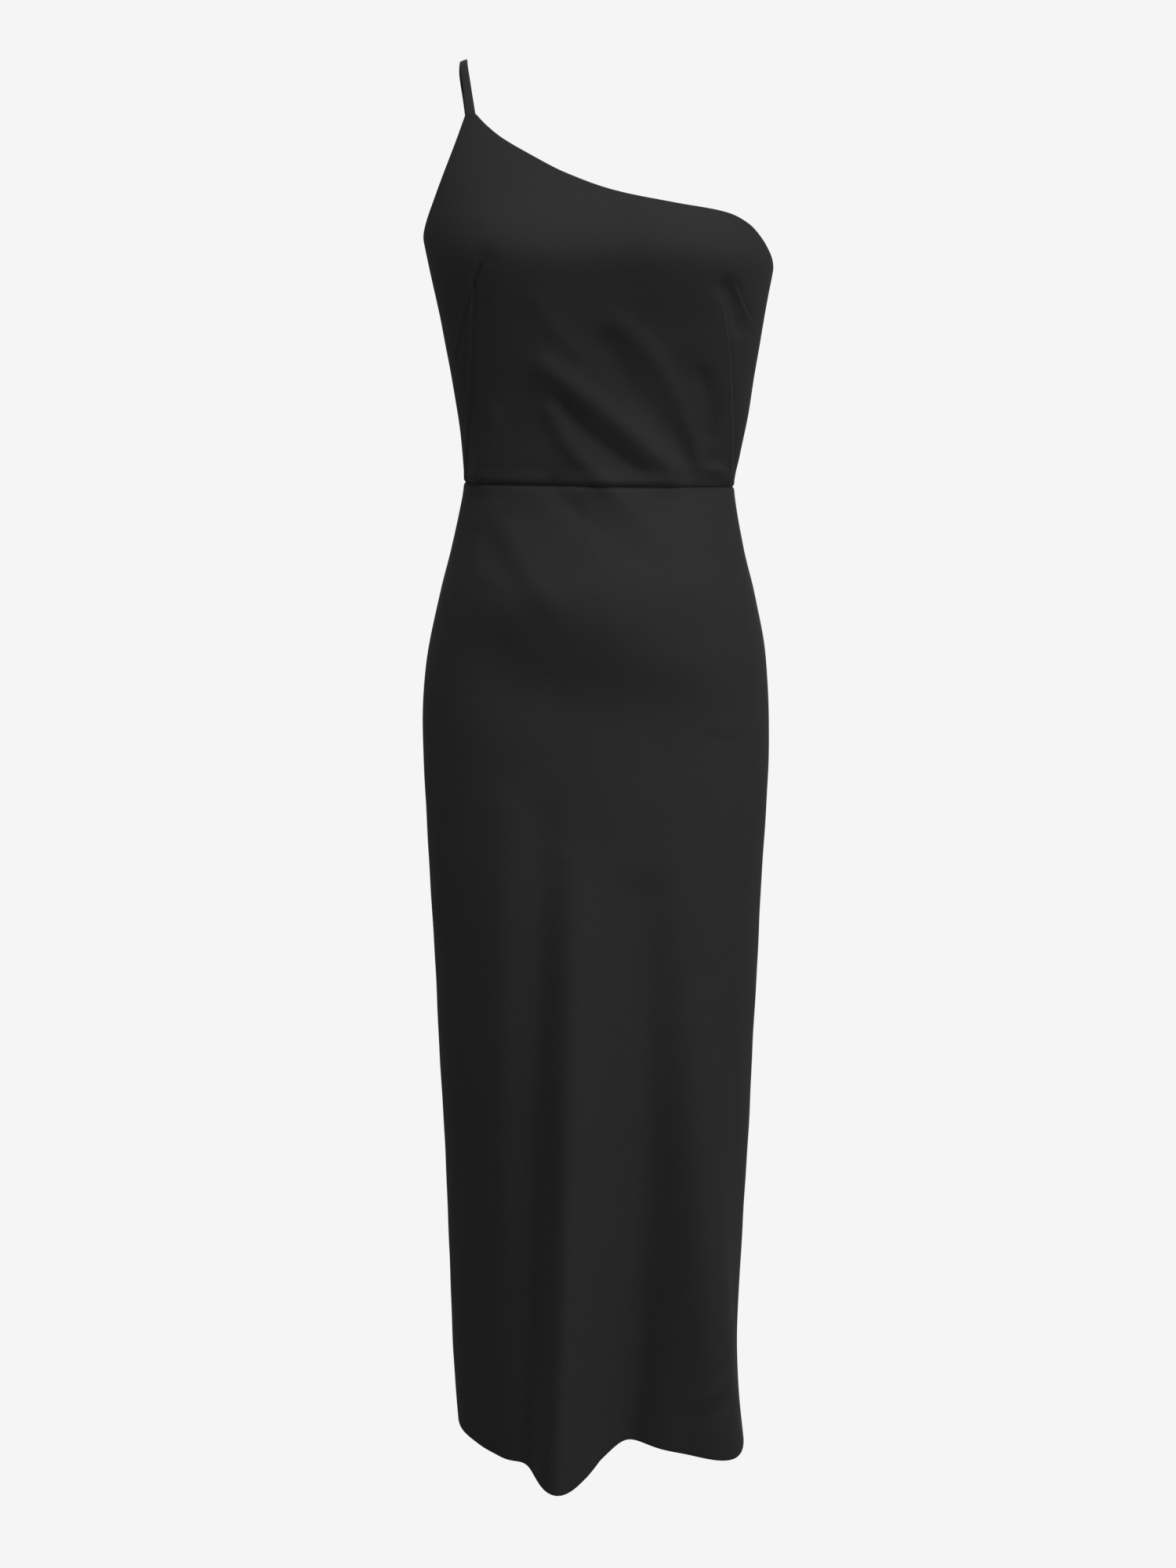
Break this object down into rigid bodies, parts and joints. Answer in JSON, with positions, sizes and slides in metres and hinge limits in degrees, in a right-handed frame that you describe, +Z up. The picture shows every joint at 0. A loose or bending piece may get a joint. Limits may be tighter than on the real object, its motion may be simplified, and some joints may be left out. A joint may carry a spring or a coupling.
{
  "type": "one-shoulder dress",
  "caption": "Floor-length one-shoulder column dress, worn and filled out: darted bodice with a narrow strap, waist seam, flared skirt with soft flutes, concealed back zip with a swinging pull tab.",
  "frame": {"origin": "underside of the strap at the top of the shoulder, where the wearer holds the dress up", "axes": "+Z up, -Y the way the front of the dress faces, +X away from the strap's side of the dress"},
  "size_m": [0.3291, 0.2846, 1.3189],
  "materials": {
    "crepe": "matte satin-backed crepe, black",
    "tape": "black woven polyester tape",
    "zip_metal": "black lacquered zinc"
  },
  "bodies": {
    "dress": {"bodice_front": "crepe", "bodice_back_left": "crepe", "bodice_back_right": "crepe", "skirt_front": "crepe", "skirt_back_left": "crepe", "skirt_back_right": "crepe", "strap": "crepe", "zip_tape": "tape", "zip_slider": "zip_metal"},
    "pull_tab": {"zip_pull": "zip_metal"}
  },
  "joints": [
    {"name": "pull_tab_swing", "type": "hinge", "parent": "dress", "child": "pull_tab", "pos_m": [0.1236, 0.10028, -0.13505], "axis": [1, 0, 0], "range_deg": [0, 165]}
  ]
}
